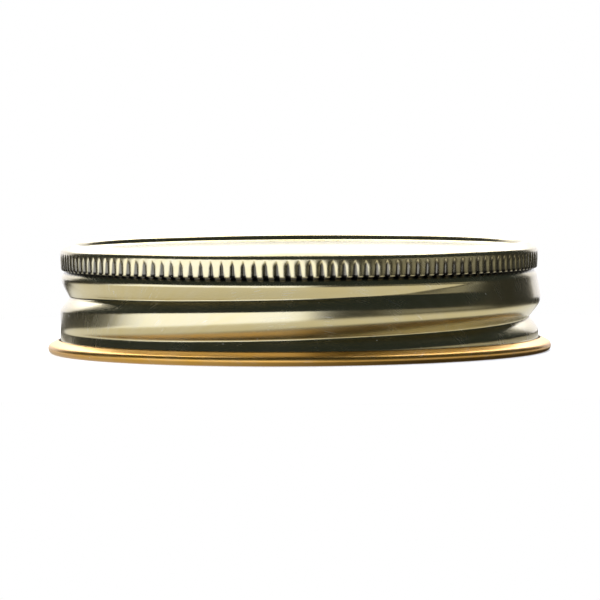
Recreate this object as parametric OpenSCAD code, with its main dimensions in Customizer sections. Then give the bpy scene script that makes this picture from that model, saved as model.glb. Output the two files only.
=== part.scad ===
// Continuous-thread screw cap, drawn and rolled from one disc of lacquered tinplate,
// with a ring of sealing compound flowed into the channel under its rim.
// The cap stands mouth down on its curl: the origin is at the centre of the mouth,
// on the plane that the curl rests on, and +Z runs up through the top panel.

/* [Cap] */
// Diameter over the ridges of the grip band
cap_d = 70.4; // [68:0.2:74]
// Height from the bottom of the curl to the top of the rim
cap_h = 16.1; // [15.8:0.1:17]
// Thickness of the tinplate
sheet_t = 0.28; // [0.24:0.02:0.3]

/* [Rim and panel] */
// Depth of the flat panel below the top of the rim
panel_drop = 0.95; // [0.8:0.05:1.1]
// Height of the rounded shoulder between the grip band and the top of the rim
shoulder_h = 1.25; // [1.15:0.05:1.35]
// Width of that shoulder, measured along the radius
shoulder_w = 1.6; // [1.5:0.05:1.7]

/* [Grip band] */
// Height of the ridges
grip_h = 2.65; // [2.4:0.05:2.9]
// Spacing of the ridges round the band
grip_pitch = 1.58; // [1.5:0.02:1.8]
// Depth of the valleys between the ridges
grip_depth = 0.28; // [0.24:0.02:0.32]

/* [Thread] */
// Rise of the rolled thread in one turn
thread_pitch = 6; // [5.7:0.1:6.2]
// Depth of the thread's groove in the skirt
thread_depth = 1.4; // [1.2:0.05:1.5]
// Length of the thread, in turns
thread_turns = 1.42; // [1.3:0.02:1.46]

/* [Curl] */
// How far the curl stands out from the skirt
curl_w = 1.85; // [1.75:0.05:2]

/* [Seal] */
// Height of the sealing compound's flat face below the panel
seal_t = 0.45; // [0.35:0.05:0.6]

/* [Hidden] */
$fn = 96;

// radii of the outer faces, from the grip band inwards
grip_r = cap_d / 2;
valley_r = grip_r - grip_depth;
skirt_r = grip_r + 0.05;
crest_r = grip_r - shoulder_w;
bore_r = valley_r - sheet_t;

// step from the rim down to the panel: two bends of the sheet's middle line, with a straight between
bend_r = 0.35;
bend_turn = 70;
bend_run = (panel_drop - 2 * bend_r * (1 - cos(bend_turn))) / sin(bend_turn);
panel_r = crest_r - 2 * bend_r * sin(bend_turn) - bend_run * cos(bend_turn);

// levels, from the top of the rim downwards
panel_z = cap_h - panel_drop;
grip_top_z = cap_h - shoulder_h;
grip_low_z = grip_top_z - grip_h;

// tight corner of the shoulder over the ridges: its radius and the angle that it turns through
corner_r = 0.7;
corner_turn = 50;

// valleys of the grip band run out on a cone under the shoulder
runout_h = 0.6;

// the rolled thread: V groove with a long upper flank, right handed, level where it runs out
thread_cols = 80;
thread_rows = 22;
upper_slope = 0.53;
lower_slope = 0.88;
root_round = 0.35;
edge_round = 0.3;
foot_slope = 1.2;
head_slope = 0.6;
thread_z0 = 5;
thread_start = -190;
thread_end = thread_start + 360 * thread_turns;
fade_in = 60;
fade_out = 28;
level_in = 100;
level_out = 31;
level_round = 40;

// the neck pressed in under the ridges, and the level at which the groove ends above the curl
neck_h = 0.9;
neck_in = 0.25;
neck_z = grip_low_z - neck_h;
foot_z = 1.8;

// below the neck the wall swells and leans outwards, down to the first groove's upper flank
wall_in = 0.15;
wall_run = 3;
wall_lean = 0.118;
flank_h = 2.5;

// seating of the threaded skirt inside the faces that it meets
seat = 0.03;
seat_h = 0.25;

// the curl, rolled outwards from the foot of the skirt
curl_r = 0.6;
curl_turn = 62;
curl_gap = 0.3;
curl_joint_z = 1.7;

ridges = round(2 * PI * grip_r / grip_pitch);

// points of an elliptical arc about [cr, cz], from angle a0 to a1
function arc(cr, cz, rr, rz, a0, a1, n = 8) =
    [for (i = [0:n]) let (a = a0 + (a1 - a0) * i / n) [cr + rr * cos(a), cz + rz * sin(a)]];

function reversed(path) = [for (i = [len(path) - 1:-1:0]) path[i]];

// outside of the shoulder, from the grip band up to the crest: a tight corner, a straight slope
// and a wide arc that meet without a kink
shoulder =
    let (
        wide = shoulder_w - corner_r * (1 - cos(corner_turn)),
        high = shoulder_h - corner_r * sin(corner_turn),
        crest = (wide * cos(corner_turn) - high * sin(corner_turn)) / (1 - sin(corner_turn)))
    concat(
        arc(grip_r - corner_r, grip_top_z, corner_r, corner_r, 0, corner_turn, 4),
        arc(crest_r, cap_h - crest, crest, crest, corner_turn, 84, 4));

// one face of the step from the panel up to the rim, o above the sheet's middle line
function rim_step(o) = concat(
    arc(panel_r, panel_z - sheet_t / 2 + bend_r, bend_r - o, bend_r - o, -90, bend_turn - 90, 5),
    arc(crest_r, cap_h - sheet_t / 2 - bend_r, bend_r + o, bend_r + o, bend_turn + 90, 90, 5));

// inner face of the rim, from the edge of the panel out to the bore
rim_inside = concat(
    rim_step(-sheet_t / 2),
    reversed(arc(crest_r, grip_top_z, bore_r - crest_r, shoulder_h - sheet_t, 0, 80)));

// panel, rim, shoulder and grip band as one revolved sheet, before the valleys are pressed in
module top_sheet() {
    rotate_extrude()
        polygon(concat(
            [[0, panel_z]],
            rim_step(sheet_t / 2),
            reversed(shoulder),
            reversed(arc(grip_r - 0.2, grip_low_z + 0.2, 0.2, 0.2, -90, 0, 3)),
            [[bore_r, grip_low_z]],
            reversed(rim_inside),
            [[0, panel_z - sheet_t]]));
}

// upright prism whose sides are the valleys and the convex crowns of the ridges
module ridge_prism() {
    // corners of one ridge: share of its pitch from the valley's middle, and radius
    corners = [[0, valley_r], [0.2, grip_r - 0.08], [0.5, grip_r + 0.06], [0.8, grip_r - 0.08]];
    translate([0, 0, grip_low_z - 1])
        linear_extrude(height = cap_h)
            polygon([
                for (i = [0:ridges - 1], corner = corners)
                    let (a = 360 * (i + corner[0]) / ridges)
                        [corner[1] * cos(a), corner[1] * sin(a)]]);
}

// cone on which the valleys come out to the shoulder
module valley_runout() {
    low_z = grip_top_z - runout_h;
    rotate_extrude()
        polygon([
            [0, low_z], [valley_r, low_z], [grip_r + 0.01, grip_top_z],
            [grip_r + 0.01, cap_h + 1], [0, cap_h + 1]]);
}

// 0 to 1 with level ends, as u goes from 0 to 1
function ease(u) = let (v = min(max(u, 0), 1)) v * v * (3 - 2 * v);

// the greater of 0 and x, with the corner rounded over r on each side
function ramp(x, r) = x <= -r ? 0 : x >= r ? x : (x + r) * (x + r) / (4 * r);

// share of the full depth that the thread has at angle a along it
function thread_share(a) = ease((a - thread_start) / fade_in) * ease((thread_end - a) / fade_out);

// height of the groove's centre line at angle a: a helix that turns level near both ends
function thread_z(a) =
    let (first = thread_start + level_in, last = thread_end - level_out)
        thread_z0 + thread_pitch / 360 * (
            first + ramp(a - first, level_round) - ramp(a - last, level_round));

// depth of the full groove, d above its centre line: straight flanks down to a rounded root
function groove(d) =
    let (root = (upper_slope + lower_slope) * root_round / 4)
    ramp(thread_depth + root - upper_slope * ramp(d, root_round)
        - lower_slope * ramp(-d, root_round), edge_round);

// depth of the groove at angle a and height z: the deepest of the turns that pass there, held
// back where the wall has to come out again to the foot of the skirt and to the neck
function groove_depth(a, z) =
    let (deepest = max([for (turn = [-1:1])
        let (t = a + 360 * turn) thread_share(t) * groove(z - thread_z(t))]))
    max(0, min(deepest, foot_slope * (z - foot_z), head_slope * (neck_z - z)));

// how far the wall above the first groove stands out at angle a and height z
function swell(a, z) =
    let (above = [for (turn = [-1:1]) let (t = a + 360 * turn)
        1 - thread_share(t) * ease(1 - (z - thread_z(t)) / flank_h)])
    wall_lean * max(0, neck_z - z) * above[0] * above[1] * above[2]
        - wall_in * (1 - ease((neck_z - z) / wall_run));

// depth of the neck at height z: from the ridges' valleys, in to its waist and out to the wall
function neck_depth(z) =
    let (u = min(max((grip_low_z - z) / neck_h, 0), 1))
    (skirt_r - wall_in - valley_r) * (1 - ease(u)) + neck_in * pow(sin(180 * u), 2);

function skirt_face(a, z) = skirt_r - seat + swell(a, z) - groove_depth(a, z) - neck_depth(z);

// point of the skirt at angle a and height z, in the sheet's outer face (depth 0) or inner face
function skirt_point(a, z, depth) =
    let (
        d = 0.05,
        slope = (skirt_face(a, z + d) - skirt_face(a, z - d)) / (2 * d),
        n = sqrt(1 + slope * slope),
        r = skirt_face(a, z) - depth / n)
    [r * cos(a), r * sin(a), z + depth * slope / n];

// threaded skirt: outer and inner grids of points, closed at both ends
module threaded_skirt() {
    inner = sheet_t - 2 * seat;
    levels = concat(
        [curl_joint_z - seat_h],
        [for (i = [0:thread_rows]) foot_z + (neck_z - foot_z) * i / thread_rows],
        [for (i = [1:4]) neck_z + neck_h * i / 4],
        [grip_low_z + seat_h]);
    n = thread_cols;
    rows = len(levels);
    points = [for (depth = [0, inner], z = levels, i = [0:n - 1]) skirt_point(360 * i / n, z, depth)];
    function at(side, row, i) = (side * rows + row) * n + i % n;
    faces = concat(
        [for (row = [0:rows - 2], i = [0:n - 1])
            [at(0, row, i), at(0, row + 1, i), at(0, row + 1, i + 1)]],
        [for (row = [0:rows - 2], i = [0:n - 1])
            [at(0, row, i), at(0, row + 1, i + 1), at(0, row, i + 1)]],
        [for (row = [0:rows - 2], i = [0:n - 1])
            [at(1, row, i), at(1, row + 1, i + 1), at(1, row + 1, i)]],
        [for (row = [0:rows - 2], i = [0:n - 1])
            [at(1, row, i), at(1, row, i + 1), at(1, row + 1, i + 1)]],
        [for (i = [0:n - 1]) [at(0, 0, i), at(0, 0, i + 1), at(1, 0, i + 1)]],
        [for (i = [0:n - 1]) [at(0, 0, i), at(1, 0, i + 1), at(1, 0, i)]],
        [for (i = [0:n - 1]) [at(0, rows - 1, i), at(1, rows - 1, i + 1), at(0, rows - 1, i + 1)]],
        [for (i = [0:n - 1]) [at(0, rows - 1, i), at(1, rows - 1, i), at(1, rows - 1, i + 1)]]);
    polyhedron(points, faces, convexity = 6);
}

// one face of the curl's sheet, o outside its middle line
function curl_face(o) =
    let (
        wall = skirt_r - sheet_t / 2,
        near_r = wall + curl_r,
        far_r = skirt_r + curl_w - sheet_t / 2 - curl_r,
        roll = arc(far_r, curl_r + sheet_t / 2, curl_r + o, curl_r + o, -90, curl_turn, 14),
        tip = roll[len(roll) - 1],
        run = (tip[0] - skirt_r - curl_gap) / sin(curl_turn))
    concat(
        [[wall - o, curl_joint_z]],
        arc(near_r, curl_r + sheet_t / 2, curl_r + o, curl_r + o, 180, 270, 8),
        roll,
        [tip + run * [-sin(curl_turn), cos(curl_turn)]]);

module curl() {
    rotate_extrude()
        polygon(concat(curl_face(sheet_t / 2), reversed(curl_face(-sheet_t / 2))));
}

module cap_shell() {
    color([0.62, 0.57, 0.38])
        union() {
            intersection() {
                top_sheet();
                union() {
                    ridge_prism();
                    valley_runout();
                }
            }
            threaded_skirt();
            curl();
        }
}

module sealing_ring() {
    seal_z = panel_z - sheet_t - seal_t;
    meniscus_w = 1.2;
    meniscus_h = 0.7;
    color([0.85, 0.83, 0.78])
        rotate_extrude()
            polygon(concat(
                rim_inside,
                [[bore_r, seal_z - meniscus_h * cos(20)]],
                arc(bore_r - meniscus_w, seal_z - meniscus_h, meniscus_w, meniscus_h, 20, 90, 5),
                reversed(arc(panel_r - 0.3, panel_z - sheet_t, 0.6, seal_t, 180, 270, 5))));
}

cap_shell();
sealing_ring();
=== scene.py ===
"""Screw cap of lacquered tinplate: the rolled sheet, its sealing ring and a small studio."""
import math
import bpy
import numpy as np
from bpy.props import FloatProperty, FloatVectorProperty, IntProperty, PointerProperty
from bpy.types import Operator, Panel, PropertyGroup
from mathutils import Matrix, Vector


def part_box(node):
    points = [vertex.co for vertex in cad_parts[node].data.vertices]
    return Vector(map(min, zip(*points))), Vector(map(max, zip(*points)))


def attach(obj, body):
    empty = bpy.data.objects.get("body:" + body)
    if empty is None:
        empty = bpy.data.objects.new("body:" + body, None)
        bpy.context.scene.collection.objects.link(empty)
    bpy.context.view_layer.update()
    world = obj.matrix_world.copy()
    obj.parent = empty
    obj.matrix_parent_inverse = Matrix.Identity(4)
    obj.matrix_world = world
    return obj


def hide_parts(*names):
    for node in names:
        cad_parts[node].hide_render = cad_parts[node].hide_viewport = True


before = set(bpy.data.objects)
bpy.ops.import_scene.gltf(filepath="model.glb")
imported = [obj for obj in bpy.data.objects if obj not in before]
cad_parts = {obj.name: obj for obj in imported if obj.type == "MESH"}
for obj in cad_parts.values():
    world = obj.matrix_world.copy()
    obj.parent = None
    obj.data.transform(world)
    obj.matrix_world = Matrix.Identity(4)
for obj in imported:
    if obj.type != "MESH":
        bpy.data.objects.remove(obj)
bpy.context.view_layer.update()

bl_info = {
    "name": "Tinplate Screw Cap",
    "version": (1, 0, 0),
    "blender": (4, 5, 0),
    "location": "View3D > Sidebar > Screw Cap",
    "description": "Builds a threaded tinplate screw cap, its sealing ring and a studio",
    "category": "Add Mesh",
}

SHELL_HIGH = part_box("cap_shell")[1]
TURN = 2 * math.pi

# All lengths are in metres.

# columns of the mesh in one ridge of the grip band, closer together in the valley
RIDGE_COLUMNS = np.array([0.0, 0.04, 0.09, 0.18, 0.32, 0.5, 0.68, 0.82, 0.91, 0.96])
PLAIN_PER_RIDGE = 2

# step from the rim down to the panel: two bends of the sheet's middle line
BEND_R = 0.0006
BEND_TURN = math.radians(70)
# tight corner of the shoulder over the ridges
CORNER_R = 0.00085
CORNER_TURN = math.radians(50)
# crowns of the ridges: how far they lie inside the plain skirt, the angle of their edges and how
# far they fall in towards the neck
CROWN_SET = 0.00005
CROWN_TURN = math.radians(44)
CROWN_FALL = 0.00009
# narrow rounding at the valley's middle: its share of the depth and its half width in pitches
VALLEY_SHARE, VALLEY_HALF = 0.12, 0.1
# height over which the valleys run out under the shoulder, and the corner's angle, in degrees, at
# which they end
RUNOUT_H = 0.0009
RUNOUT_TURN = 12.0
# lower lips of the ridges, how far they reach in past the valleys, and the notches that the
# valleys leave between them: height, half width in pitches, and how the face under them leans
LIP_R, LIP_IN = 0.00028, 0.00004
NOTCH_H, NOTCH_HALF, NOTCH_LEAN = 0.00026, 0.24, 0.3
# share of a ridge's height that shows on the inside
IMPRINT = 0.8

# the rolled thread: its long straight upper flank, and the lower one that leaves the root steeply
# and rounds out to the wall by a power curve
UPPER_SLOPE = 0.53
LOWER_H, LOWER_POWER = 0.0018, 1.3
ROOT_ROUND, EDGE_ROUND, CREASE_ROUND = 0.00024, 0.0004, 0.00012
# slopes at which the groove comes out again over the foot and under the neck, rounded there
FOOT_SLOPE, HEAD_SLOPE, HEAD_ROUND = 2.0, 0.6, 0.0004
# height of the groove's centre line at angle 0, the thread's start, the angles at its start and at
# its end over which it fades and over which it is level, and the rounding from level to rising
THREAD_Z0 = 0.005
THREAD_START = math.radians(-175)
FADE_IN, FADE_OUT = math.radians(130), math.radians(75)
LEVEL_IN, LEVEL_OUT, LEVEL_ROUND = math.radians(60), math.radians(50), math.radians(30)
# the neck: how far it is pressed in at its waist, where the waist is, as a share of its height, and
# the power by which it comes out again
NECK_IN, WAIST, NECK_POWER = 0.0003, 0.12, 1.6
# the wall under the neck starts further in, swells and leans outwards, down to the first groove's
# upper flank
WALL_IN, WALL_RUN = 0.00015, 0.003
WALL_LEAN = 0.118
FLANK_H = 0.0025
# rows of the mesh between the neck and the curl, on the outer face and on the inner one
OUTER_ROWS, INNER_ROWS = 62, 26
# the cut edge's place after the sheet's outside and inside lacquers
CUT_EDGE = 2

# the curl: radius of its middle line, how far it turns in, in degrees, and the gap to the skirt
CURL_R = 0.0006
CURL_TURN = 62.0
CURL_GAP = 0.0003
# heights at which the skirt meets the curl and the groove ends
CURL_JOINT_Z = 0.0017
FOOT_Z = 0.0018

# the sealing ring: columns, how far its closed back lies inside the sheet, its inner border's
# place inside the panel's edge and width, the meniscus on the wall, and how far it wavers in and
# down
SEAL_COLUMNS = 360
SEAL_SUNK = 0.0001
SEAL_INSET, SEAL_BORDER_W = 0.0003, 0.0006
MENISCUS_W, MENISCUS_H = 0.0012, 0.0007
FLOW_IN, FLOW_DOWN = 0.00009, 0.00002

# colours that aren't the user's: rubbed marks, dust, pinholes in the compound, and the painted
# shade of the grip band's valleys, neck and notches
RUBBED = (0.75, 0.72, 0.66, 1)
DUST = (0.7, 0.68, 0.62, 1)
PINHOLE = (0.35, 0.32, 0.27, 1)
# painted shade: dark brown in the valleys and the neck, nearly black in the notches
PAINTED_SHADE = (0.13, 0.115, 0.075, 1)
NOTCH_PAINTED_SHADE = (0.012, 0.011, 0.009, 1)
# heights of what the finishes emboss: scratches, pinholes and the compound's waves
SCRATCH_H, PINHOLE_H, WAVE_H = -5e-7, -2e-5, 1.2e-5
# where the painted shade begins and is full: heights from the grip band's lower edge and from its
# upper one, and radii from its crowns; in the notches also the cosine of the angle times the ridges
PAINTED_SHADE_NECK, NOTCH_TOP = (-0.0006, -0.0001), (0.0005, 0.0003)
PAINTED_SHADE_TOP = (0.0002, -0.0002)
PAINTED_SHADE_SUNK = (-0.00008, -0.0002)
NOTCH_PHASE = (-0.2, 0.2)

# the room, by azimuth in degrees from the front, positive to the right: first, last and half the
# width of the soft edges
WINDOW_SECTOR = (-84, 6, 8)
WALL_SECTOR = (38, 92, 12)
# parts of the unit vector at which the shares of the room begin and are full
WALL_TOP = (0.13, 0.05)
HORIZON = (0.29, 0.16)
STRIP_LEAN = 0.25
STRIP_LEFT, STRIP_RIGHT = (-0.44, -0.36), (0.54, 0.48)
STRIP_FRONT = (0.06, 0.2)
BACKDROP_RISE = (0.2, 0.6)
ROOM_DARK, ROOM_ABOVE = (0.035, 0.037, 0.036, 1), (0.030, 0.040, 0.044, 1)
WALL_PALE, WINDOW_COOL = (0.42, 0.43, 0.42, 1), (1.95, 2.1, 2.65, 1)
BACKDROP_LOW, BACKDROP_HIGH = (1.3, 1.3, 1.4, 1), (5.0, 5.2, 6.0, 1)

# the floor, by distance from the curl: the painted contact shadow that reflections show, end of the
# bright ground, start of the mirror and of the open ground; and how the painted contact shadow's
# share grows from left to right
CONTACT = (0.0025, 0.0008)
CONTACT_SIDES = (-0.03, 0.02, 0.35, 0.97)
BRIGHT_END = (0.016, 0.032)
MIRROR_START = (0.05, 0.10)
OPEN_START = (0.02, 0.07)
WHITE, BLACK = (1, 1, 1, 1), (0, 0, 0, 1)
# ground in reflections: white close round the cap, and painted shade further out
GROUND_BRIGHT, GROUND_DARK = (0.98, 0.98, 0.95, 1), (0.05, 0.05, 0.05, 1)
GROUND_GREY = (0.62, 0.62, 0.62, 1)
FLOOR_SIDE = 3.0


class CapSizes(PropertyGroup):
    """Sizes of the cap, in metres and turns."""

    cap_h: FloatProperty(
        name="Height", description="Bottom of the curl to the top of the rim",
        default=SHELL_HIGH.z, unit="LENGTH")
    mouth_r: FloatProperty(
        name="Curl radius", description="Axis to the outside of the curl",
        default=SHELL_HIGH.x, unit="LENGTH")
    curl_w: FloatProperty(
        name="Curl width", description="How far the curl stands out from the skirt",
        default=0.00185, unit="LENGTH")
    sheet_t: FloatProperty(
        name="Sheet", description="Thickness of the tinplate",
        default=0.00028, unit="LENGTH")
    panel_drop: FloatProperty(
        name="Panel drop", description="Top of the rim down to the flat panel",
        default=0.00095, unit="LENGTH")
    shoulder_h: FloatProperty(
        name="Shoulder height", description="Top of the ridges up to the top of the rim",
        default=0.00145, unit="LENGTH")
    shoulder_w: FloatProperty(
        name="Shoulder width", description="Width of the rounded shoulder along the radius",
        default=0.0016, unit="LENGTH")
    grip_h: FloatProperty(
        name="Ridge height", description="Height of the grip band",
        default=0.0025, unit="LENGTH")
    grip_depth: FloatProperty(
        name="Valley depth", description="Depth of the valleys between the ridges",
        default=0.00034, unit="LENGTH")
    ridges: IntProperty(
        name="Ridges", description="Ridges round the grip band", default=140, min=8)
    neck_h: FloatProperty(
        name="Neck height", description="Height of the neck pressed in under the ridges",
        default=0.0012, unit="LENGTH")
    thread_pitch: FloatProperty(
        name="Thread pitch", description="Rise of the thread in one turn",
        default=0.006, unit="LENGTH")
    thread_depth: FloatProperty(
        name="Thread depth", description="Depth of the groove in the skirt",
        default=0.0014, unit="LENGTH")
    thread_turns: FloatProperty(
        name="Thread turns", description="Length of the thread in turns", default=1.378)
    seal_t: FloatProperty(
        name="Seal thickness", description="Sealing compound's flat face below the panel",
        default=0.00045, unit="LENGTH")


class CapFinish(PropertyGroup):
    """Colours of the cap's lacquers, metal and sealing compound."""

    outside: FloatVectorProperty(
        name="Outside lacquer", description="Olive gold of the outside", subtype="COLOR",
        default=(0.55, 0.46, 0.225))
    outside_thin: FloatVectorProperty(
        name="Thin outside lacquer", description="Outside lacquer where the film is thin",
        subtype="COLOR", default=(0.60, 0.56, 0.42))
    inside: FloatVectorProperty(
        name="Inside lacquer", description="Orange gold of the inside and the curl",
        subtype="COLOR", default=(0.74, 0.40, 0.07))
    inside_thin: FloatVectorProperty(
        name="Thin inside lacquer", description="Inside lacquer where the film is thin",
        subtype="COLOR", default=(0.76, 0.52, 0.24))
    tin: FloatVectorProperty(
        name="Tin", description="Bare metal on the sheet's cut edge", subtype="COLOR",
        default=(0.55, 0.55, 0.54))
    compound: FloatVectorProperty(
        name="Sealing compound", description="Off-white of the sealing ring",
        subtype="COLOR", default=(0.62, 0.59, 0.52))


# ---------------------------------------------------------------- shapes


def ease(u):
    """Cubic from 0 to 1 with level ends: 3u^2 - 2u^3, held outside the unit span."""
    v = np.clip(u, 0.0, 1.0)
    return v * v * (3 - 2 * v)


def ramp(x, r):
    """The greater of 0 and x, its corner rounded over r on each side by (x + r)^2 / 4r."""
    return np.where(x <= -r, 0.0, np.where(x >= r, x, (x + r) ** 2 / (4 * r)))


def levels(sizes):
    """Radii and heights that the section is built from, worked out from the sizes."""
    grip_r = sizes.mouth_r - sizes.curl_w - CROWN_SET
    crest_r = grip_r - sizes.shoulder_w
    grip_top = sizes.cap_h - sizes.shoulder_h
    bend_run = (sizes.panel_drop - 2 * BEND_R * (1 - math.cos(BEND_TURN))) / math.sin(BEND_TURN)
    return {
        "grip_r": grip_r,
        "valley_r": grip_r - sizes.grip_depth,
        "skirt_r": sizes.mouth_r - sizes.curl_w,
        "crest_r": crest_r,
        "panel_r": crest_r - 2 * BEND_R * math.sin(BEND_TURN) - bend_run * math.cos(BEND_TURN),
        "panel_z": sizes.cap_h - sizes.panel_drop,
        "grip_top": grip_top,
        "grip_low": grip_top - sizes.grip_h,
        "bore_r": grip_r - sizes.grip_depth - sizes.sheet_t,
    }


def ridge_depth(angle, sizes):
    """Depth below the crowns at each angle, from 0 to the valley's: the crown is a circular arc
    that reaches CROWN_TURN at its edges, 1 - sqrt(1 - (s x)^2) with s its sine and x from 0 on the
    crown to 1 in the valley, and the last share of the depth is a narrow rounded valley. Two sines
    of a valley's number make its depth differ by up to 9 in 100."""
    u = (angle / TURN * sizes.ridges) % 1.0
    d = np.minimum(u, 1 - u)
    number = np.round(angle / TURN * sizes.ridges)
    uneven = 1 + 0.05 * np.sin(number * 2.3) + 0.04 * np.sin(number * 0.71)
    sine = math.sin(CROWN_TURN)
    crown = (1 - np.sqrt(1 - (sine * (1 - 2 * d)) ** 2)) / (1 - math.cos(CROWN_TURN))
    valley = ease(1 - d / VALLEY_HALF)
    return sizes.grip_depth * ((1 - VALLEY_SHARE) * crown + VALLEY_SHARE * valley) * uneven


def thread_at(angle, sizes):
    """For each turn of the thread that may pass an angle: how far it has grown from its start, how
    much of it is left before its end, and the height of its centre line, a helix that turns level
    near both ends."""
    end = THREAD_START + TURN * sizes.thread_turns
    first, last = THREAD_START + LEVEL_IN, end - LEVEL_OUT
    for turn in (-1, 0, 1):
        t = angle + TURN * turn
        along = first + ramp(t - first, LEVEL_ROUND) - ramp(t - last, LEVEL_ROUND)
        grown = np.clip((t - THREAD_START) / FADE_IN, 0, 1)
        left = np.clip((end - t) / FADE_OUT, 0, 1)
        yield (np.sin(grown * TURN / 4), np.sin(left * TURN / 4),
               THREAD_Z0 + sizes.thread_pitch * along / TURN)


def skirt_face(angle, z, sizes):
    """Radius of the skirt's outer face: the plain radius, plus the swell and lean of the wall above
    the first groove, less the neck and the groove. From its rounded root the groove goes up on a
    straight flank, depth - UPPER_SLOPE * height, and down on a curved one, depth * (1 - fall /
    LOWER_H) ^ LOWER_POWER. It starts softly, is as deep as the deepest of the turns that pass, and
    ends above the foot and under the neck. The neck goes straight in to its waist and comes out by
    a power."""
    size = levels(sizes)
    root = UPPER_SLOPE * ROOT_ROUND / 4
    deepest = np.zeros(np.broadcast(angle, z).shape)
    standing = np.ones_like(deepest)
    for grown, left, centre in thread_at(angle, sizes):
        above = z - centre
        full = sizes.thread_depth * grown
        upper = ramp(full + root - UPPER_SLOPE * ramp(above, ROOT_ROUND), EDGE_ROUND)
        lower = full * np.clip(1 + above / LOWER_H, 0, 2) ** LOWER_POWER
        both = (upper - ramp(upper - lower, CREASE_ROUND)) * left * ease(4 * grown)
        deepest = np.maximum(deepest, both)
        standing = standing * (1 - grown * left * ease(1 - above / FLANK_H))
    below = size["grip_low"] - sizes.neck_h - z
    ends = np.minimum(FOOT_SLOPE * (z - FOOT_Z), HEAD_SLOPE * ramp(below, HEAD_ROUND))
    groove = np.clip(np.minimum(deepest, ends), 0, None)
    swell = WALL_LEAN * np.clip(below, 0, None) * standing - WALL_IN * (1 - ease(below / WALL_RUN))
    u = np.clip(1 + below / sizes.neck_h, 0, 1)
    neck = ((size["skirt_r"] - WALL_IN - size["valley_r"]) * (1 - ease(u))
            + NECK_IN * np.minimum(u / WAIST, ((1 - u) / (1 - WAIST)) ** NECK_POWER))
    return size["skirt_r"] + swell - groove - neck


def skirt_rows(angle, heights, depth, sizes):
    """Rows of radius and height in the skirt's sheet: its outer face moved inwards by depth along
    the normal of the section, whose slope is the change of radius over a short rise."""
    a, z = np.meshgrid(angle, heights)
    rise = 0.00003
    slope = (skirt_face(a, z + rise, sizes) - skirt_face(a, z - rise, sizes)) / (2 * rise)
    n = np.sqrt(1 + slope * slope)
    return skirt_face(a, z, sizes) - depth / n, z + depth * slope / n


def arc(centre_r, centre_z, wide, high, first, last, count):
    """Radii and heights along an elliptical arc, from angle first to angle last in degrees."""
    a = np.radians(np.linspace(first, last, count))
    return centre_r + wide * np.cos(a), centre_z + high * np.sin(a)


def shoulder(sizes):
    """Radii and heights of the outside of the shoulder, from the crest down to just over where the
    valleys run out: a wide arc, a straight slope and a tight corner that meet without a kink."""
    size = levels(sizes)
    sin, cos = math.sin(CORNER_TURN), math.cos(CORNER_TURN)
    wide = sizes.shoulder_w - CORNER_R * (1 - cos)
    high = sizes.shoulder_h - CORNER_R * sin
    crest = (wide * cos - high * sin) / (1 - sin)
    turned = math.degrees(CORNER_TURN)
    r0, z0 = arc(size["crest_r"], sizes.cap_h - crest, crest, crest, 84, turned, 7)
    r1, z1 = arc(size["grip_r"] - CORNER_R, size["grip_top"], CORNER_R, CORNER_R, turned,
                 RUNOUT_TURN + 6, 7)
    return np.concatenate([r0, r1]), np.concatenate([z0, z1])


def rim_step(offset, sizes):
    """Radii and heights of one face of the step from the panel up to the rim: two arcs of opposite
    bend, offset above the sheet's middle line, joined by a straight."""
    size = levels(sizes)
    half = sizes.sheet_t / 2
    turned = math.degrees(BEND_TURN)
    low = arc(size["panel_r"], size["panel_z"] - half + BEND_R, BEND_R - offset, BEND_R - offset,
              -90, turned - 90, 7)
    high = arc(size["crest_r"], sizes.cap_h - half - BEND_R, BEND_R + offset, BEND_R + offset,
               turned + 90, 90, 9)
    return np.concatenate([low[0], high[0]]), np.concatenate([low[1], high[1]])


def curl_face(offset, sizes):
    """Radii and heights of one face of the curl's sheet, offset outside its middle line: down the
    foot of the skirt, round the bead and in along its top to the cut edge."""
    skirt_r = sizes.mouth_r - sizes.curl_w
    wall = skirt_r - sizes.sheet_t / 2
    low = CURL_R + sizes.sheet_t / 2
    far = sizes.mouth_r - sizes.sheet_t / 2 - CURL_R
    r0, z0 = arc(wall + CURL_R, low, CURL_R + offset, CURL_R + offset, 180, 270, 9)
    r1, z1 = arc(far, low, CURL_R + offset, CURL_R + offset, -90, CURL_TURN, 15)
    lean = math.radians(CURL_TURN)
    middle_tip = far + CURL_R * math.cos(lean)
    run = (middle_tip - skirt_r - CURL_GAP) / math.sin(lean) * np.linspace(0.2, 1, 4)
    r2, z2 = r1[-1] - run * math.sin(lean), z1[-1] + run * math.cos(lean)
    return np.concatenate([r0, r1, r2]), np.concatenate([z0, z1, z2])


# ---------------------------------------------------------------- meshes


def plain_row(r, z, angle):
    """One section line carried round the axis: the same radii and heights in every column."""
    return np.repeat(r[:, None], len(angle), 1), np.repeat(z[:, None], len(angle), 1)


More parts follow.
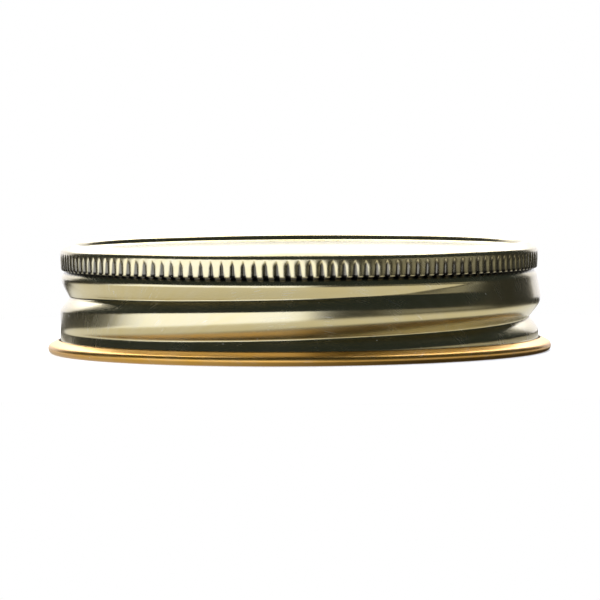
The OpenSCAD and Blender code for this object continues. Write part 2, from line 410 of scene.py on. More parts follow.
def sheet_bands(sizes):
    """The sheet's two faces as bands of rows, in order from the middle of the panel over the rim,
    down the outside, round the curl and back up the inside: (radii, heights, angles, inside?)."""
    size = levels(sizes)
    fine = (np.arange(sizes.ridges)[:, None] + RIDGE_COLUMNS[None, :]).ravel() * TURN / sizes.ridges
    plain = np.arange(sizes.ridges * PLAIN_PER_RIDGE) * TURN / (sizes.ridges * PLAIN_PER_RIDGE)
    t = sizes.sheet_t
    bands = []

    def add(r, z, angle, inside):
        if r.ndim == 1:
            r, z = plain_row(r, z, angle)
        bands.append((r, z, angle, inside))

    # outside: panel, step, crest and shoulder
    flat = size["panel_r"] * np.array([0.3, 0.6, 0.85, 0.97])
    add(flat, np.full_like(flat, size["panel_z"]), plain, False)
    add(*rim_step(t / 2, sizes), plain, False)
    add(*shoulder(sizes), plain, False)
    # grip band: crowns that fall in towards the neck, valleys that run out up the corner
    dip = ridge_depth(fine, sizes)[None, :]
    low, high = size["grip_low"] + LIP_R, size["grip_top"]
    corner = arc(size["grip_r"] - CORNER_R, high, CORNER_R, CORNER_R, RUNOUT_TURN, 0, 4)
    straight = np.concatenate([np.linspace(high, high - RUNOUT_H, 5),
                               np.linspace(high - RUNOUT_H, low, 6)[1:]])[1:]
    heights = np.concatenate([corner[1], straight])[:, None]
    crown = np.concatenate([corner[0], np.full_like(straight, size["grip_r"])])[:, None]
    sunk = ease((heights[0] - heights) / (heights[0] - high + RUNOUT_H))
    fall = CROWN_FALL * np.clip((high - heights) / (high - low), 0, 1) ** 2
    radius = crown - fall - dip * sunk
    add(radius, heights + 0 * dip, fine, False)
    # lips turned in to a shelf over the neck, cut by a notch under each valley
    near = np.abs((fine / TURN * sizes.ridges + 0.5) % 1.0 - 0.5)
    notch = NOTCH_H * np.clip(1 - near / NOTCH_HALF, 0, 1)
    turned = np.radians(np.linspace(15, 90, 6))[:, None]
    edge_r, edge_z = size["valley_r"] - LIP_IN, size["grip_low"] + notch
    add(edge_r + (radius[-1] - edge_r) * np.cos(turned), low - (LIP_R - notch) * np.sin(turned),
        fine, False)
    waist_z = size["grip_low"] - WAIST * sizes.neck_h
    waist_r = skirt_face(fine, waist_z, sizes) - NOTCH_LEAN * (edge_z - waist_z)
    below = np.array([0.00001, 0.00004])[:, None]
    add(waist_r + NOTCH_LEAN * below, edge_z - below, fine, False)
    # neck and threaded skirt, both faces at the same rows in the neck
    neck = size["grip_low"] - sizes.neck_h * np.linspace(WAIST, 1, 7)
    outer, inner = (np.concatenate([neck, np.linspace(neck[-1], CURL_JOINT_Z, rows)[1:]])
                    for rows in (OUTER_ROWS, INNER_ROWS))
    add(*skirt_rows(plain, outer, 0.0, sizes), plain, False)
    # curl: the outside lacquer is rolled in, the inside lacquer shows
    add(*curl_face(-t / 2, sizes), plain, False)
    add(*(line[::-1] for line in curl_face(t / 2, sizes)), plain, True)
    add(*skirt_rows(plain, inner[::-1], t, sizes), plain, True)
    # inside of the ridges, from well above the notches, then shoulder, crest, step and panel
    imprint = IMPRINT * (sizes.grip_depth - dip)
    heights = np.linspace(size["grip_low"] + 5 * LIP_R, size["grip_top"], 4)[:, None]
    share = ease((heights - heights[0]) / LIP_R) * ease((size["grip_top"] - heights) / RUNOUT_H)
    add(size["bore_r"] + imprint * share, heights + 0 * dip, fine, True)
    inner_w, inner_h = size["bore_r"] - size["crest_r"], sizes.shoulder_h - t
    add(*arc(size["crest_r"], size["grip_top"], inner_w, inner_h, 8, 86, 9), plain, True)
    add(*(line[::-1] for line in rim_step(-t / 2, sizes)), plain, True)
    add(flat[::-1], np.full_like(flat, size["panel_z"] - t), plain, True)
    return bands


def blank_map(bands):
    """Each point's place on the flat blank: at its own angle, at the distance from the axis along
    its own face, which is the first row's radius and the steps between the rows' mean points."""
    mean = np.array([[r.mean(), z.mean()] for radii, heights, _, _ in bands
                     for r, z in zip(radii, heights)])
    widths = np.concatenate([np.full(len(radii), radii.shape[1]) for radii, _, _, _ in bands])
    outer_rows = sum(len(radii) for radii, _, _, inside in bands if not inside)
    hops = np.hypot(*np.diff(mean, axis=0).T)
    out = mean[0, 0] + np.concatenate([[0], np.cumsum(hops[:outer_rows - 1])])
    back = mean[-1, 0] + np.concatenate([[0], np.cumsum(hops[outer_rows:][::-1])])
    reach = np.concatenate([np.repeat(np.concatenate([out, back[::-1]]), widths), [0, 0]])
    angles = np.concatenate([np.tile(angle, len(radii)) for radii, _, angle, _ in bands]
                            + [[0, 0]])
    return np.stack([reach * np.cos(angles), reach * np.sin(angles)], 1)


def grid_mesh(name, bands, low_pole, high_pole, materials):
    """A closed mesh from bands of rows: points r cos a, r sin a, z; quads between rows of as many
    columns, fans to the poles and fans of one plain column to several fine ones. The UV map is the
    flat blank."""
    points, faces, slots = [], [], []
    first = 0
    previous = None
    spans = []
    for radii, heights, angle, inside in bands:
        rows, columns = radii.shape
        points.append(np.stack([radii * np.cos(angle), radii * np.sin(angle), heights], -1)
                      .reshape(-1, 3))
        spans.append((first, rows, columns, inside))
        first += rows * columns
    poles = first, first + 1
    points.append(np.array([[0, 0, high_pole], [0, 0, low_pole]]))
    points = np.concatenate(points)

    def ring(start, columns):
        here = start + np.arange(columns)
        return here, np.roll(here, -1)

    def put(new, inside):
        faces.extend(new.tolist())
        slots.append(np.full(len(new), int(inside)))

    for start, rows, columns, inside in spans:
        if previous is None:
            here, ahead = ring(start, columns)
            put(np.stack([np.full(columns, poles[0]), here, ahead], 1), inside)
        else:
            last, wide, was_inside = previous
            here, ahead = ring(last, wide)
            below, beyond = ring(start, columns)
            if wide == columns:
                edge = CUT_EDGE if was_inside != inside else inside
                put(np.stack([here, below, beyond, ahead], 1), edge)
            elif wide < columns:
                fan = np.stack([np.roll(below, -k)[::columns // wide]
                                for k in range(columns // wide + 1)], 1)
                put(np.concatenate([here[:, None], fan, ahead[:, None]], 1), inside)
            else:
                fan = np.stack([np.roll(here, -k)[::wide // columns]
                                for k in range(wide // columns + 1)], 1)
                put(np.concatenate([beyond[:, None], fan[:, ::-1], below[:, None]], 1), inside)
        grid = start + np.arange(rows * columns).reshape(rows, columns)
        ahead = np.roll(grid, -1, 1)
        put(np.stack([grid[:-1], grid[1:], ahead[1:], ahead[:-1]], -1).reshape(-1, 4), inside)
        previous = start + (rows - 1) * columns, columns, inside
    here, ahead = ring(previous[0], previous[1])
    put(np.stack([here, np.full(len(here), poles[1]), ahead], 1), previous[2])

    mesh = bpy.data.meshes.new(name)
    mesh.from_pydata(points, [], faces)
    mesh.validate()
    for material in materials:
        mesh.materials.append(material)
    mesh.polygons.foreach_set("material_index", np.concatenate(slots).astype(np.int32))
    mesh.shade_smooth()
    obj = bpy.data.objects.new(name, mesh)
    bpy.context.scene.collection.objects.link(obj)

    corner = np.zeros(len(mesh.loops), np.int32)
    mesh.loops.foreach_get("vertex_index", corner)
    places = blank_map(bands)[corner].astype(np.float32).ravel()
    mesh.uv_layers.new(name="blank").data.foreach_set("uv", places)
    return obj


# ---------------------------------------------------------------- finishes


def add_node(tree, kind, values=None, **settings):
    """A node with its settings and the default values of its input sockets."""
    node = tree.nodes.new(kind)
    for key, value in settings.items():
        setattr(node, key, value)
    for key, value in (values or {}).items():
        node.inputs[key].default_value = value
    return node


def feed(tree, value, socket):
    """Links another node's output to a socket, or writes a plain value on it."""
    if isinstance(value, bpy.types.NodeSocket):
        tree.links.new(value, socket)
    else:
        socket.default_value = value


def calc(tree, operation, *values):
    """A Math node on up to three values or outputs."""
    node = add_node(tree, "ShaderNodeMath", operation=operation)
    for value, socket in zip(values, node.inputs):
        feed(tree, value, socket)
    return node.outputs[0]


def span(tree, value, low, high, to_low=0.0, to_high=1.0):
    """A smooth step of a value from one span to another, held at both ends."""
    node = add_node(tree, "ShaderNodeMapRange", interpolation_type="SMOOTHSTEP")
    for key, item in zip(("Value", "From Min", "From Max", "To Min", "To Max"),
                         (value, low, high, to_low, to_high)):
        feed(tree, item, node.inputs[key])
    return node.outputs["Result"]


def blend_colours(tree, share, first, second):
    """A colour between two, by a share from 0 to 1."""
    node = add_node(tree, "ShaderNodeMix", data_type="RGBA")
    for socket, value in zip((node.inputs[0], node.inputs[6], node.inputs[7]),
                             (share, first, second)):
        feed(tree, value, socket)
    return node.outputs[2]


def noise(tree, vector, scale, detail=2.0, roughness=0.5):
    """A Noise texture's value at a vector."""
    node = add_node(tree, "ShaderNodeTexNoise", {"Detail": detail, "Roughness": roughness})
    feed(tree, vector, node.inputs["Vector"])
    feed(tree, scale, node.inputs["Scale"])
    return node.outputs["Fac"]


def stretched(tree, vector, factors, turn=0.0):
    """A vector turned about Z and scaled by a factor along each axis."""
    node = add_node(tree, "ShaderNodeMapping", {"Scale": factors, "Rotation": (0, 0, turn)})
    feed(tree, vector, node.inputs["Vector"])
    return node.outputs[0]


def new_group(name, inputs, outputs):
    """A shader node group with named sockets: its tree, its input node and its output node."""
    tree = bpy.data.node_groups.new(name, "ShaderNodeTree")
    for direction, sockets in (("INPUT", inputs), ("OUTPUT", outputs)):
        for label, kind, default in sockets:
            socket = tree.interface.new_socket(label, in_out=direction, socket_type=kind)
            if default is not None:
                socket.default_value = default
    entry = tree.nodes.new("NodeGroupInput")
    leave = tree.nodes.new("NodeGroupOutput")
    return tree, entry.outputs, leave.inputs


def use_group(tree, name, values):
    """A group node with its own values or links: its outputs."""
    node = add_node(tree, "ShaderNodeGroup", node_tree=bpy.data.node_groups[name])
    for key, value in values.items():
        feed(tree, value, node.inputs[key])
    return node.outputs


def product(tree, *values):
    """The product of two or more values."""
    total = values[0]
    for value in values[1:]:
        total = calc(tree, "MULTIPLY", total, value)
    return total


def axes(tree, vector):
    """The X, Y and Z of a vector."""
    split = add_node(tree, "ShaderNodeSeparateXYZ")
    feed(tree, vector, split.inputs[0])
    return split.outputs


def from_axis(tree, x, y):
    """Distance from the cap's axis: the root of x^2 + y^2."""
    return calc(tree, "SQRT", calc(tree, "MULTIPLY_ADD", x, x, calc(tree, "MULTIPLY", y, y)))


def place_on(tree, kind):
    """A texture coordinate: Object is a place in the object's metres, Generated a direction in the
    world."""
    return add_node(tree, "ShaderNodeTexCoord").outputs[kind]


def new_material(name):
    """A material without nodes, and its tree."""
    material = bpy.data.materials.new(name)
    material.use_nodes = True
    material.node_tree.nodes.clear()
    return material, material.node_tree


def put_out(tree, shader, kind="ShaderNodeOutputMaterial"):
    """Links a shader to the tree's output."""
    feed(tree, shader, add_node(tree, kind).inputs[0])


def emboss(tree, height, shader):
    """Bumps a shader by a height in metres."""
    bump = add_node(tree, "ShaderNodeBump", {"Strength": 1.0, "Distance": 1.0})
    feed(tree, height, bump.inputs["Height"])
    feed(tree, bump.outputs[0], shader.inputs["Normal"])


VECTOR, FLOAT, COLOUR = "NodeSocketVector", "NodeSocketFloat", "NodeSocketColor"


def make_grain_group():
    """Rolling grain of the tinplate with the orange peel of the lacquer over it. Height is in
    metres: long thin noise across one direction of the blank, plus round noise for the peel."""
    tree, given, out = new_group("tinplate_grain", [
        ("Vector", VECTOR, None), ("Grain Depth", FLOAT, 4e-7), ("Peel Depth", FLOAT, 3e-7),
        ("Peel Size", FLOAT, 0.0006)], [("Height", FLOAT, None), ("Tone", FLOAT, None)])
    fine = noise(tree, stretched(tree, given["Vector"], (180.0, 5200.0, 180.0)), 1.0, 3.0, 0.6)
    coarse = noise(tree, stretched(tree, given["Vector"], (60.0, 1500.0, 60.0)), 1.0, 2.0)
    grain = calc(tree, "ADD", calc(tree, "MULTIPLY", fine, 0.6),
                 calc(tree, "MULTIPLY", coarse, 0.4))
    peel = noise(tree, given["Vector"], calc(tree, "DIVIDE", 1.0, given["Peel Size"]), 1.5)
    feed(tree, calc(tree, "ADD", calc(tree, "MULTIPLY", grain, given["Grain Depth"]),
                    calc(tree, "MULTIPLY", peel, given["Peel Depth"])), out["Height"])
    feed(tree, grain, out["Tone"])


def make_film_group():
    """Lacquer film: where it ran thin its tint is paler and its gloss lower. Thickness is slow
    noise with streaks along the roller's direction."""
    tree, given, out = new_group("lacquer_film", [
        ("Vector", VECTOR, None), ("Tint", COLOUR, (0.5, 0.4, 0.2, 1)),
        ("Thin Tint", COLOUR, (0.6, 0.55, 0.4, 1)), ("Unevenness", FLOAT, 0.4),
        ("Roughness", FLOAT, 0.15), ("Grain Tone", FLOAT, 0.5)],
        [("Color", COLOUR, None), ("Roughness", FLOAT, None)])
    cloud = noise(tree, given["Vector"], 130.0, 3.0, 0.55)
    streak = noise(tree, stretched(tree, given["Vector"], (40.0, 900.0, 40.0)), 1.0, 2.0)
    thin = calc(tree, "ADD", calc(tree, "MULTIPLY", cloud, 0.6),
                calc(tree, "MULTIPLY", streak, 0.4))
    thin = span(tree, thin, 0.3, 0.75)
    share = calc(tree, "MULTIPLY", thin, given["Unevenness"])
    colour = blend_colours(tree, share, given["Tint"], given["Thin Tint"])
    feed(tree, colour, out["Color"])
    rough = calc(tree, "MULTIPLY_ADD", thin, 0.06, given["Roughness"])
    feed(tree, calc(tree, "MULTIPLY_ADD", given["Grain Tone"], 0.05, rough), out["Roughness"])


def make_rub_group():
    """Handling marks: short fine scratches in two directions, a share of them kept by slow
    noise."""
    tree, given, out = new_group("handling_rub", [
        ("Vector", VECTOR, None), ("Amount", FLOAT, 0.5)], [("Mask", FLOAT, None)])
    marks = None
    for turn, factors in ((0.5, (260.0, 7000.0, 260.0)), (2.1, (330.0, 8200.0, 330.0))):
        line = noise(tree, stretched(tree, given["Vector"], factors, turn), 1.0, 0.0)
        line = span(tree, line, 0.71, 0.76)
        marks = line if marks is None else calc(tree, "MAXIMUM", marks, line)
    place = span(tree, noise(tree, given["Vector"], 260.0, 2.0), 0.5, 0.7)
    feed(tree, product(tree, marks, place, given["Amount"]), out["Mask"])


def make_dust_group():
    """Dust: in each cell of a scattered lattice, a speck of its own size, and most cells empty."""
    tree, given, out = new_group("dust_specks", [
        ("Vector", VECTOR, None), ("Spacing", FLOAT, 0.0012), ("Speck Size", FLOAT, 0.00005),
        ("Share", FLOAT, 0.2)], [("Mask", FLOAT, None)])
    cells = add_node(tree, "ShaderNodeTexVoronoi", {"Randomness": 1.0})
    feed(tree, given["Vector"], cells.inputs["Vector"])
    feed(tree, calc(tree, "DIVIDE", 1.0, given["Spacing"]), cells.inputs["Scale"])
    draw = add_node(tree, "ShaderNodeSeparateColor")
    feed(tree, cells.outputs["Color"], draw.inputs[0])
    radius = calc(tree, "MULTIPLY", calc(tree, "DIVIDE", given["Speck Size"], given["Spacing"]),
                  calc(tree, "ADD", draw.outputs[1], 0.4))
    inside = calc(tree, "LESS_THAN", cells.outputs["Distance"], radius)
    kept = calc(tree, "LESS_THAN", draw.outputs[0], given["Share"])
    feed(tree, calc(tree, "MULTIPLY", inside, kept), out["Mask"])


def make_room_group():
    """What surrounds the cap in each direction. A bright backdrop rises behind it and comes forward
    over it as a strip, whose left edge leans. The rest is a dark room. Below a soft horizon it has,
    by azimuth from the front, a wide window of cool light from the left to the middle, shade, and
    a low paler wall at the right."""
    tree, given, out = new_group("room", [("Vector", VECTOR, None)], [
        ("Color", COLOUR, None), ("Window", FLOAT, None), ("Behind", FLOAT, None)])
    unit = add_node(tree, "ShaderNodeVectorMath", operation="NORMALIZE")
    feed(tree, given["Vector"], unit.inputs[0])
    x, y, z = axes(tree, unit.outputs[0])
    azimuth = calc(tree, "ARCTAN2", x, calc(tree, "MULTIPLY", y, -1.0))

    def sector(first, last, soft):
        rad = math.radians
        return product(tree, span(tree, azimuth, rad(first - soft), rad(first + soft)),
                       span(tree, azimuth, rad(last + soft), rad(last - soft)))

    window = sector(*WINDOW_SECTOR)
    beside = product(tree, sector(*WALL_SECTOR), span(tree, z, *WALL_TOP))
    low = blend_colours(tree, beside, ROOM_DARK, WALL_PALE)
    low = blend_colours(tree, window, low, WINDOW_COOL)
    room = blend_colours(tree, span(tree, z, *HORIZON), ROOM_ABOVE, low)
    left = span(tree, calc(tree, "MULTIPLY_ADD", y, STRIP_LEAN, x), *STRIP_LEFT)
    behind = product(tree, left, span(tree, x, *STRIP_RIGHT), span(tree, y, *STRIP_FRONT))
    backdrop = blend_colours(tree, span(tree, z, *BACKDROP_RISE), BACKDROP_LOW, BACKDROP_HIGH)
    feed(tree, blend_colours(tree, behind, room, backdrop), out["Color"])
    feed(tree, window, out["Window"])
    feed(tree, behind, out["Behind"])


def painted_shade_masks(tree, place, low, high, crown, ridges):
    """Two masks of painted shade, by height, distance from the axis and angle, on a grip band
    between two heights: the first fills the valleys and the neck under them, inside the crowns, and
    the second the notches, one at each valley, where the cosine of the angle times the ridges is
    near 1."""
    x, y, z = axes(tree, place)

    def past(value, edge, steps):
        return span(tree, value, edge + steps[0], edge + steps[1])

    neck = past(z, low, PAINTED_SHADE_NECK)
    sunk = past(from_axis(tree, x, y), crown, PAINTED_SHADE_SUNK)
    held = product(tree, neck, past(z, high, PAINTED_SHADE_TOP), sunk)
    phase = calc(tree, "COSINE", calc(tree, "MULTIPLY", calc(tree, "ARCTAN2", y, x), ridges))
    notch = product(tree, span(tree, phase, *NOTCH_PHASE), past(z, low, NOTCH_TOP), neck)
    return held, notch


def metal_finish(name, tint, thin_tint, roughness, peel=3e-7, coat=0.35, painted_shade_band=None):
    """Bright metal under a clear film of lacquer, with grain, rubbed marks and a little dust, and
    with painted shade on a grip band where its heights, its crowns' radius and its ridges are
    given: the valleys, the neck and the notches are darkened. The painted shade in the notches also
    takes the film's coat away."""
    material, tree = new_material(name)
    blank = add_node(tree, "ShaderNodeUVMap", uv_map="blank").outputs[0]
    solid = place_on(tree, "Object")
    grained = use_group(tree, "tinplate_grain", {
        "Vector": blank, "Grain Depth": 4e-7, "Peel Depth": peel})
    film = use_group(tree, "lacquer_film", {
        "Vector": blank, "Tint": (*tint, 1), "Thin Tint": (*thin_tint, 1), "Unevenness": 0.35,
        "Roughness": roughness, "Grain Tone": grained["Tone"]})
    marks = use_group(tree, "handling_rub", {"Vector": blank, "Amount": 0.4})["Mask"]
    specks = use_group(tree, "dust_specks", {"Vector": solid, "Share": 0.12})["Mask"]
    clear = calc(tree, "SUBTRACT", 1.0, specks)
    shader = add_node(tree, "ShaderNodeBsdfPrincipled", {
        "Coat Roughness": 0.06, "Coat IOR": 1.5, "IOR": 1.5})
    colour = blend_colours(tree, marks, film["Color"], RUBBED)
    # painted shade: darkens the valleys, the neck and the notches, and takes the coat from the
    # notches
    if painted_shade_band:
        held, notch = painted_shade_masks(tree, solid, *painted_shade_band)
        colour = blend_colours(tree, held, colour, PAINTED_SHADE)
        colour = blend_colours(tree, notch, colour, NOTCH_PAINTED_SHADE)
        coat = product(tree, calc(tree, "SUBTRACT", 1.0, notch), coat)
    feed(tree, blend_colours(tree, specks, colour, DUST), shader.inputs["Base Color"])
    feed(tree, clear, shader.inputs["Metallic"])
    rough = calc(tree, "MULTIPLY_ADD", marks, 0.12, film["Roughness"])
    feed(tree, calc(tree, "MAXIMUM", rough, calc(tree, "MULTIPLY", specks, 0.8)),
         shader.inputs["Roughness"])
    feed(tree, product(tree, clear, coat), shader.inputs["Coat Weight"])
    emboss(tree, calc(tree, "MULTIPLY_ADD", marks, SCRATCH_H, grained["Height"]), shader)
    put_out(tree, shader.outputs[0])
    return material


def compound_finish(name, colour):
    """Satin sealing compound: faint mottling, small waves and pinholes."""
    material, tree = new_material(name)
    place = place_on(tree, "Object")
    mottle = span(tree, noise(tree, place, 420.0, 4.0, 0.6), 0.35, 0.7)
    pale = tuple(min(1.0, 1.12 * part) for part in colour)
    body = blend_colours(tree, mottle, (*colour, 1), (*pale, 1))
    holes = use_group(tree, "dust_specks", {
        "Vector": place, "Spacing": 0.0009, "Speck Size": 0.00006, "Share": 0.25})["Mask"]
    shader = add_node(tree, "ShaderNodeBsdfPrincipled", {"Specular IOR Level": 0.4})
    feed(tree, blend_colours(tree, holes, body, PINHOLE), shader.inputs["Base Color"])
    feed(tree, calc(tree, "MULTIPLY_ADD", mottle, 0.15, 0.42), shader.inputs["Roughness"])
    waves = calc(tree, "MULTIPLY", noise(tree, place, 1500.0, 3.0), WAVE_H)
    emboss(tree, calc(tree, "MULTIPLY_ADD", holes, PINHOLE_H, waves), shader)
    put_out(tree, shader.outputs[0])
    return material


# ---------------------------------------------------------------- operators


class CAP_OT_sheet(Operator):
    """Builds the cap's sheet: panel, rim, ridges, neck, threaded skirt and curl"""

    bl_idname = "screw_cap.sheet"
    bl_label = "Tinplate Sheet"

    def execute(self, context):
        sizes = context.scene.cap_sizes
        finish = context.scene.cap_finish
        size = levels(sizes)
        skins = [
            # outside lacquer, with painted shade under and between the ridges
            metal_finish("outside_lacquer", finish.outside, finish.outside_thin, 0.2,
                         painted_shade_band=(size["grip_low"], size["grip_top"], size["grip_r"], sizes.ridges)),
            metal_finish("inside_lacquer", finish.inside, finish.inside_thin, 0.3, coat=0.15),
            metal_finish("cut_edge", finish.tin, finish.tin, 0.3, peel=1e-6, coat=0.0),
        ]
        sheet = grid_mesh("cap_sheet", sheet_bands(sizes), size["panel_z"] - sizes.sheet_t,
                          size["panel_z"], skins)
        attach(sheet, "root")
        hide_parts("cap_shell")
        return {"FINISHED"}


def seal_section(sizes):
    """Radii and heights round the seal's section, and the share by which each point follows the
    uneven flow: inner border, flat face, meniscus up the wall, then back inside the sheet."""
    size = levels(sizes)
    under = size["panel_z"] - sizes.sheet_t
    face_z = under - sizes.seal_t
    border = arc(size["panel_r"] - SEAL_INSET, under, SEAL_BORDER_W, sizes.seal_t, 180, 270, 9)
    wide, high = MENISCUS_W, MENISCUS_H
    flat = np.linspace(border[0][-1], size["bore_r"] - wide, 6)[1:-1]
    rise = arc(size["bore_r"] - wide, face_z - high, wide, high, 90, 12, 11)
    wall = np.array([size["bore_r"] + SEAL_SUNK]), np.array([rise[1][-1]])
    inner_w = size["bore_r"] - size["crest_r"] + SEAL_SUNK
    inner_h = sizes.shoulder_h - sizes.sheet_t + SEAL_SUNK
    dome = arc(size["crest_r"], size["grip_top"], inner_w, inner_h, 0, 88, 9)
    step_r, step_z = rim_step(SEAL_SUNK - sizes.sheet_t / 2, sizes)
    back = np.array([border[0][0]]), np.array([under + SEAL_SUNK])
    parts = [(border, 1.0), ((flat, np.full_like(flat, face_z)), 0.3), (rise, 0.5), (wall, 0.0),
             (dome, 0.0), ((step_r[::-1], step_z[::-1]), 0.0), (back, 0.0)]
    radii = np.concatenate([part[0] for part, _ in parts])
    heights = np.concatenate([part[1] for part, _ in parts])
    flow = np.concatenate([np.full(len(part[0]), share) for part, share in parts])
    return radii, heights, flow


def seal_mesh(name, sizes):
    """The seal's section carried round the axis and closed: points r cos a, r sin a, z, with r and
    z moved by the flow, a sum of three sines of the angle."""
    radii, heights, flow = seal_section(sizes)
    angle = np.arange(SEAL_COLUMNS) * TURN / SEAL_COLUMNS
    waver = (0.55 * np.sin(7 * angle + 0.4) + 0.3 * np.sin(19 * angle + 2.0)
             + 0.25 * np.sin(43 * angle + 1.1))
    r = radii[:, None] - FLOW_IN * flow[:, None] * waver
    z = heights[:, None] - FLOW_DOWN * flow[:, None] * np.roll(waver, 31)
    points = np.stack([r * np.cos(angle), r * np.sin(angle), z], -1).reshape(-1, 3)
    grid = np.arange(len(points)).reshape(len(radii), SEAL_COLUMNS)
    along, ahead = np.roll(grid, -1, 0), np.roll(grid, -1, 1)
    faces = np.stack([grid, ahead, np.roll(along, -1, 1), along], -1).reshape(-1, 4)
    mesh = bpy.data.meshes.new(name)
    mesh.from_pydata(points, [], faces.tolist())
    return mesh


class CAP_OT_seal(Operator):
    """Builds the ring of sealing compound in the channel under the rim"""

    bl_idname = "screw_cap.seal"
    bl_label = "Sealing Ring"

    def execute(self, context):
        mesh = seal_mesh("sealing_compound_ring", context.scene.cap_sizes)
        mesh.materials.append(compound_finish("compound", context.scene.cap_finish.compound))
        mesh.shade_smooth()
        ring = bpy.data.objects.new("sealing_compound_ring", mesh)
        context.scene.collection.objects.link(ring)
        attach(ring, "root")
        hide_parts("sealing_ring")
        return {"FINISHED"}


def world_light(scene):
    """The room by direction, for light and reflections; plain white where the camera looks past."""
    world = bpy.data.worlds.new("studio")
    world.use_nodes = True
    scene.world = world
    tree = world.node_tree
    tree.nodes.clear()
    room = use_group(tree, "room", {"Vector": place_on(tree, "Generated")})
    path = add_node(tree, "ShaderNodeLightPath")
    seen = blend_colours(tree, path.outputs["Is Camera Ray"], room["Color"], WHITE)
    background = add_node(tree, "ShaderNodeBackground", {"Strength": 1.0})
    feed(tree, seen, background.inputs["Color"])
    put_out(tree, background.outputs[0], "ShaderNodeOutputWorld")


def floor_finish(mouth_r):
    """Pale floor. To the camera it is white and keeps the shadow round the cap. In reflections it
    shows a painted contact shadow where it touches the curl, darkest at the right, and is white
    close around. Further out it is painted dark, except under the window and the backdrop, where it
    shows the room's colour as a painted reflection, and far away it mirrors the room."""
    material, tree = new_material("floor")
    place = place_on(tree, "Object")
    x, y, _ = axes(tree, place)
    reach = calc(tree, "SUBTRACT", from_axis(tree, x, y), mouth_r)
    room = use_group(tree, "room", {"Vector": place})
    # further out: painted shade, except under the window and the backdrop, which show as painted
    # reflections
    pale = calc(tree, "MAXIMUM", room["Window"], room["Behind"])
    middle = blend_colours(tree, pale, GROUND_DARK, room["Color"])
    # painted contact shadow in reflections, darkest at the right of the cap
    contact = product(tree, span(tree, reach, *CONTACT), span(tree, x, *CONTACT_SIDES))
    close = blend_colours(tree, contact, GROUND_BRIGHT, BLACK)
    near = blend_colours(tree, span(tree, reach, *BRIGHT_END), close, middle)
    mirrored = blend_colours(tree, span(tree, reach, *MIRROR_START), near, room["Color"])
    open_share = span(tree, reach, *OPEN_START)
    lit = add_node(tree, "ShaderNodeBsdfDiffuse")
    feed(tree, blend_colours(tree, open_share, GROUND_GREY, BLACK), lit.inputs["Color"])
    white = add_node(tree, "ShaderNodeEmission", {"Color": WHITE})
    feed(tree, calc(tree, "MULTIPLY_ADD", open_share, 0.5, 0.5), white.inputs["Strength"])
    plain = add_node(tree, "ShaderNodeAddShader")
    feed(tree, lit.outputs[0], plain.inputs[0])
    feed(tree, white.outputs[0], plain.inputs[1])
    mirror = add_node(tree, "ShaderNodeEmission", {"Strength": 1.0})
    feed(tree, mirrored, mirror.inputs["Color"])
    path = add_node(tree, "ShaderNodeLightPath")
    choice = add_node(tree, "ShaderNodeMixShader")
    for socket, value in zip(choice.inputs, (path.outputs["Is Glossy Ray"], plain.outputs[0],
                                             mirror.outputs[0])):
        feed(tree, value, socket)
    put_out(tree, choice.outputs[0])
    return material


def add_lamp(scene, name, place, size, power):
    """A square soft lamp that faces the cap and isn't seen in its reflections."""
    data = bpy.data.lights.new(name, "AREA")
    data.size = size
    data.energy = power
    lamp = bpy.data.objects.new(name, data)
    lamp.location = place
    lamp.rotation_euler = (-Vector(place)).to_track_quat("-Z", "Y").to_euler()
    lamp.visible_glossy = False
    scene.collection.objects.link(lamp)


def add_camera(scene):
    """Long lens, a little above the rim, rolled by a fraction of a degree."""
    data = bpy.data.cameras.new("camera")
    data.lens = 244.0
    data.clip_start, data.clip_end = 0.05, 20.0
    camera = bpy.data.objects.new("camera", data)
    scene.collection.objects.link(camera)
    place = Vector((0.0, -0.6, 0.037))
    aim = Vector((0.0001, 0.0, 0.00745))
    roll = Matrix.Rotation(math.radians(-0.38), 4, "Z")
    turned = (aim - place).to_track_quat("-Z", "Y").to_matrix().to_4x4()
    camera.matrix_world = Matrix.Translation(place) @ turned @ roll
    scene.camera = camera


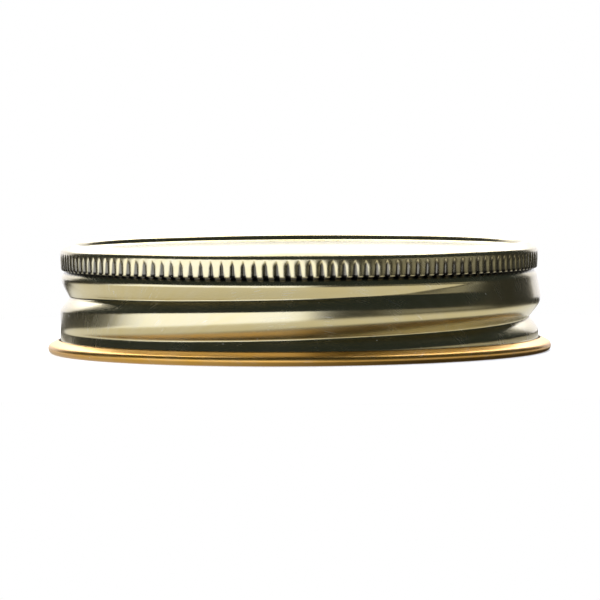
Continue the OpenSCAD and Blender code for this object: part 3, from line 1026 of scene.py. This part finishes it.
class CAP_OT_studio(Operator):
    """Sets up the floor, the light and the camera"""

    bl_idname = "screw_cap.studio"
    bl_label = "Studio"

    def execute(self, context):
        scene = context.scene
        mesh = bpy.data.meshes.new("floor")
        corners = ((-1, -1), (1, -1), (1, 1), (-1, 1))
        mesh.from_pydata([(FLOOR_SIDE * x, FLOOR_SIDE * y, 0) for x, y in corners], [],
                         [(0, 1, 2, 3)])
        mesh.materials.append(floor_finish(scene.cap_sizes.mouth_r))
        floor = bpy.data.objects.new("floor", mesh)
        scene.collection.objects.link(floor)
        world_light(scene)
        add_lamp(scene, "key", (-0.5, -0.12, 0.35), 0.3, 2.6)
        add_lamp(scene, "top", (0.1, 0.25, 0.6), 0.5, 1.6)
        add_camera(scene)
        scene.view_settings.view_transform = "Standard"
        return {"FINISHED"}


class CAP_PT_panel(Panel):
    """Lists the steps that build the cap"""

    bl_idname = "CAP_PT_panel"
    bl_label = "Screw Cap"
    bl_space_type = "VIEW_3D"
    bl_region_type = "UI"
    bl_category = "Screw Cap"

    def draw(self, context):
        for step_class in STEPS:
            self.layout.operator(step_class.bl_idname)
        for group in (context.scene.cap_sizes, context.scene.cap_finish):
            for key in group.bl_rna.properties.keys():
                if key not in ("rna_type", "name"):
                    self.layout.prop(group, key)


STEPS = (CAP_OT_sheet, CAP_OT_seal, CAP_OT_studio)
CLASSES = (CapSizes, CapFinish, *STEPS, CAP_PT_panel)


def register():
    for item in CLASSES:
        bpy.utils.register_class(item)
    bpy.types.Scene.cap_sizes = PointerProperty(type=CapSizes)
    bpy.types.Scene.cap_finish = PointerProperty(type=CapFinish)


def unregister():
    del bpy.types.Scene.cap_sizes
    del bpy.types.Scene.cap_finish
    for item in reversed(CLASSES):
        bpy.utils.unregister_class(item)


def main():
    """Registers the add-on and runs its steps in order."""
    register()
    for make_group in (make_grain_group, make_film_group, make_rub_group, make_dust_group,
                       make_room_group):
        make_group()
    bpy.ops.screw_cap.sheet()
    bpy.ops.screw_cap.seal()
    bpy.ops.screw_cap.studio()


if __name__ == "__main__":
    main()
